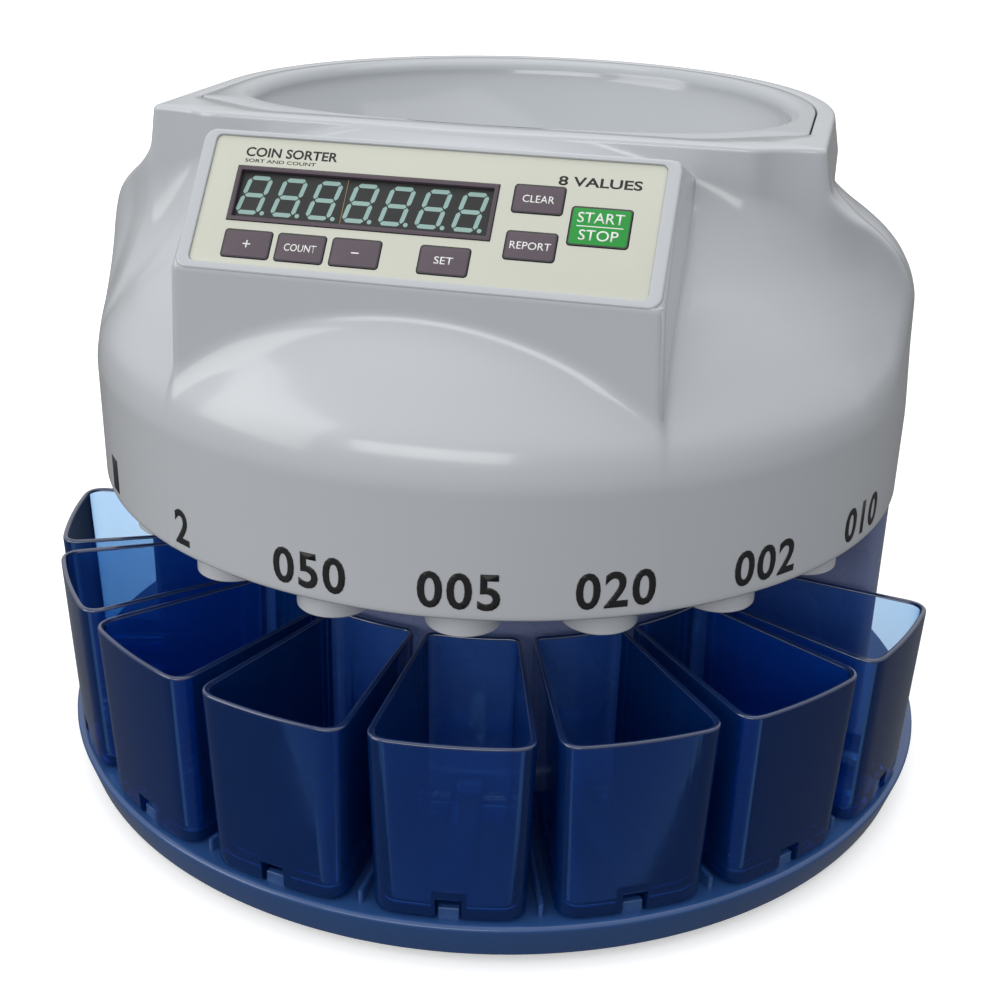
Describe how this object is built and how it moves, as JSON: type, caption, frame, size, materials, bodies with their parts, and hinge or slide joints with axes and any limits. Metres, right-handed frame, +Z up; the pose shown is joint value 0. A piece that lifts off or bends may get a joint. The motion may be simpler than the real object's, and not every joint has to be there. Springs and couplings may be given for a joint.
{
  "type": "coin sorting machine",
  "caption": "Desktop coin sorter: a round hopper head with a sloped control panel on a column, above a ring of pull-out clear blue coin bins on a round tray.",
  "frame": {"origin": "centre of the base, on the surface that the feet stand on", "axes": "+Z up, -Y towards the front where the control panel faces, +X to the right as seen from the front"},
  "size_m": [0.355, 0.355, 0.2591],
  "materials": {
    "head_plastic": "glossy moulded ABS",
    "blue_plastic": "glossy moulded ABS, dark blue",
    "bin_plastic": "clear blue polycarbonate, polished",
    "overlay": "satin printed polycarbonate",
    "display_frame": "satin",
    "display": "glossy, with unlit segments",
    "key_plum": "satin",
    "key_green": "satin",
    "black_plastic": "fine spark-eroded texture",
    "rubber": "matte",
    "steel": "zinc-plated or brushed",
    "brass": "machined",
    "nylon": "satin",
    "circuit_board": "solder mask, satin"
  },
  "bodies": {
    "machine": {"base_tray": "blue_plastic", "bearing_lower": "steel", "bearing_upper": "steel", "bottom_cover": "black_plastic", "center_column": "blue_plastic", "coin_chute_002": "head_plastic", "coin_chute_005": "head_plastic", "coin_chute_010": "head_plastic", "coin_chute_020": "head_plastic", "coin_chute_050": "head_plastic", "coin_chute_1": "head_plastic", "coin_chute_2": "head_plastic", "coin_chute_5": "head_plastic", "control_board": "circuit_board", "cover_screw_1": "steel", "cover_screw_2": "steel", "cover_screw_3": "steel", "display_3_digit": "display", "display_4_digit": "display", "display_bezel": "display_frame", "head_base_plate": "head_plastic", "head_housing": "head_plastic", "hopper_bowl": "head_plastic", "motor": "steel", "motor_bracket": "steel", "panel_overlay": "overlay", "power_board": "circuit_board", "power_inlet": "black_plastic", "rear_housing": "blue_plastic", "rubber_foot_1": "rubber", "rubber_foot_2": "rubber", "rubber_foot_3": "rubber", "rubber_foot_4": "rubber", "sensor_board": "circuit_board", "sorter_plate": "steel", "sorting_rail": "steel", "switch_bezel": "black_plastic"},
    "bin_5": {"coin_bin_5": "bin_plastic"},
    "bin_1": {"coin_bin_1": "bin_plastic"},
    "bin_2": {"coin_bin_2": "bin_plastic"},
    "bin_050": {"coin_bin_050": "bin_plastic"},
    "bin_005": {"coin_bin_005": "bin_plastic"},
    "bin_020": {"coin_bin_020": "bin_plastic"},
    "bin_002": {"coin_bin_002": "bin_plastic"},
    "bin_010": {"coin_bin_010": "bin_plastic"},
    "key_plus": {"key_plus": "key_plum"},
    "key_count": {"key_count": "key_plum"},
    "key_minus": {"key_minus": "key_plum"},
    "key_set": {"key_set": "key_plum"},
    "key_clear": {"key_clear": "key_plum"},
    "key_report": {"key_report": "key_plum"},
    "key_start_stop": {"key_start_stop": "key_green"},
    "rocker": {"power_rocker": "black_plastic"},
    "disc_drive": {"sorting_disc": "rubber", "disc_cap": "nylon", "drive_shaft": "steel", "drive_gear": "nylon"},
    "pinion": {"motor_pinion": "brass"}
  },
  "joints": [
    {"name": "bin_5_slide", "type": "slide", "parent": "machine", "child": "bin_5", "axis": [-0.9573, -0.289, 0], "range_m": [0, 0.09]},
    {"name": "bin_1_slide", "type": "slide", "parent": "machine", "child": "bin_1", "axis": [-0.7955, -0.606, 0], "range_m": [0, 0.09]},
    {"name": "bin_2_slide", "type": "slide", "parent": "machine", "child": "bin_2", "axis": [-0.5329, -0.8462, 0], "range_m": [0, 0.09]},
    {"name": "bin_050_slide", "type": "slide", "parent": "machine", "child": "bin_050", "axis": [-0.2028, -0.9792, 0], "range_m": [0, 0.09]},
    {"name": "bin_005_slide", "type": "slide", "parent": "machine", "child": "bin_005", "axis": [0.153, -0.9882, 0], "range_m": [0, 0.09]},
    {"name": "bin_020_slide", "type": "slide", "parent": "machine", "child": "bin_020", "axis": [0.4894, -0.8721, 0], "range_m": [0, 0.09]},
    {"name": "bin_002_slide", "type": "slide", "parent": "machine", "child": "bin_002", "axis": [0.7638, -0.6455, 0], "range_m": [0, 0.09]},
    {"name": "bin_010_slide", "type": "slide", "parent": "machine", "child": "bin_010", "axis": [0.9415, -0.3371, 0], "range_m": [0, 0.09]},
    {"name": "key_plus_press", "type": "slide", "parent": "machine", "child": "key_plus", "axis": [0, 0.7716, -0.6361], "range_m": [0, 0.0008], "stiffness_N_per_m": 1200},
    {"name": "key_count_press", "type": "slide", "parent": "machine", "child": "key_count", "axis": [0, 0.7716, -0.6361], "range_m": [0, 0.0008], "stiffness_N_per_m": 1200},
    {"name": "key_minus_press", "type": "slide", "parent": "machine", "child": "key_minus", "axis": [0, 0.7716, -0.6361], "range_m": [0, 0.0008], "stiffness_N_per_m": 1200},
    {"name": "key_set_press", "type": "slide", "parent": "machine", "child": "key_set", "axis": [0, 0.7716, -0.6361], "range_m": [0, 0.0008], "stiffness_N_per_m": 1200},
    {"name": "key_clear_press", "type": "slide", "parent": "machine", "child": "key_clear", "axis": [0, 0.7716, -0.6361], "range_m": [0, 0.0008], "stiffness_N_per_m": 1200},
    {"name": "key_report_press", "type": "slide", "parent": "machine", "child": "key_report", "axis": [0, 0.7716, -0.6361], "range_m": [0, 0.0008], "stiffness_N_per_m": 1200},
    {"name": "key_start_stop_press", "type": "slide", "parent": "machine", "child": "key_start_stop", "axis": [0, 0.7716, -0.6361], "range_m": [0, 0.0008], "stiffness_N_per_m": 1200},
    {"name": "power_rocker_tilt", "type": "hinge", "parent": "machine", "child": "rocker", "pos_m": [0.02803, 0.15084, 0.0445], "axis": [0.9997, -0.0253, 0], "range_deg": [0, 16]},
    {"name": "disc_spin", "type": "hinge", "parent": "machine", "child": "disc_drive", "pos_m": [0, 0.008, 0.19], "axis": [0, 0, 1], "continuous": true},
    {"name": "pinion_spin", "type": "hinge", "parent": "machine", "child": "pinion", "pos_m": [0, 0.056, 0.164], "axis": [0, 0, 1], "continuous": true}
  ],
  "couplings": [
    {"joint": "pinion_spin", "follows": "disc_spin", "ratio": -4}
  ]
}
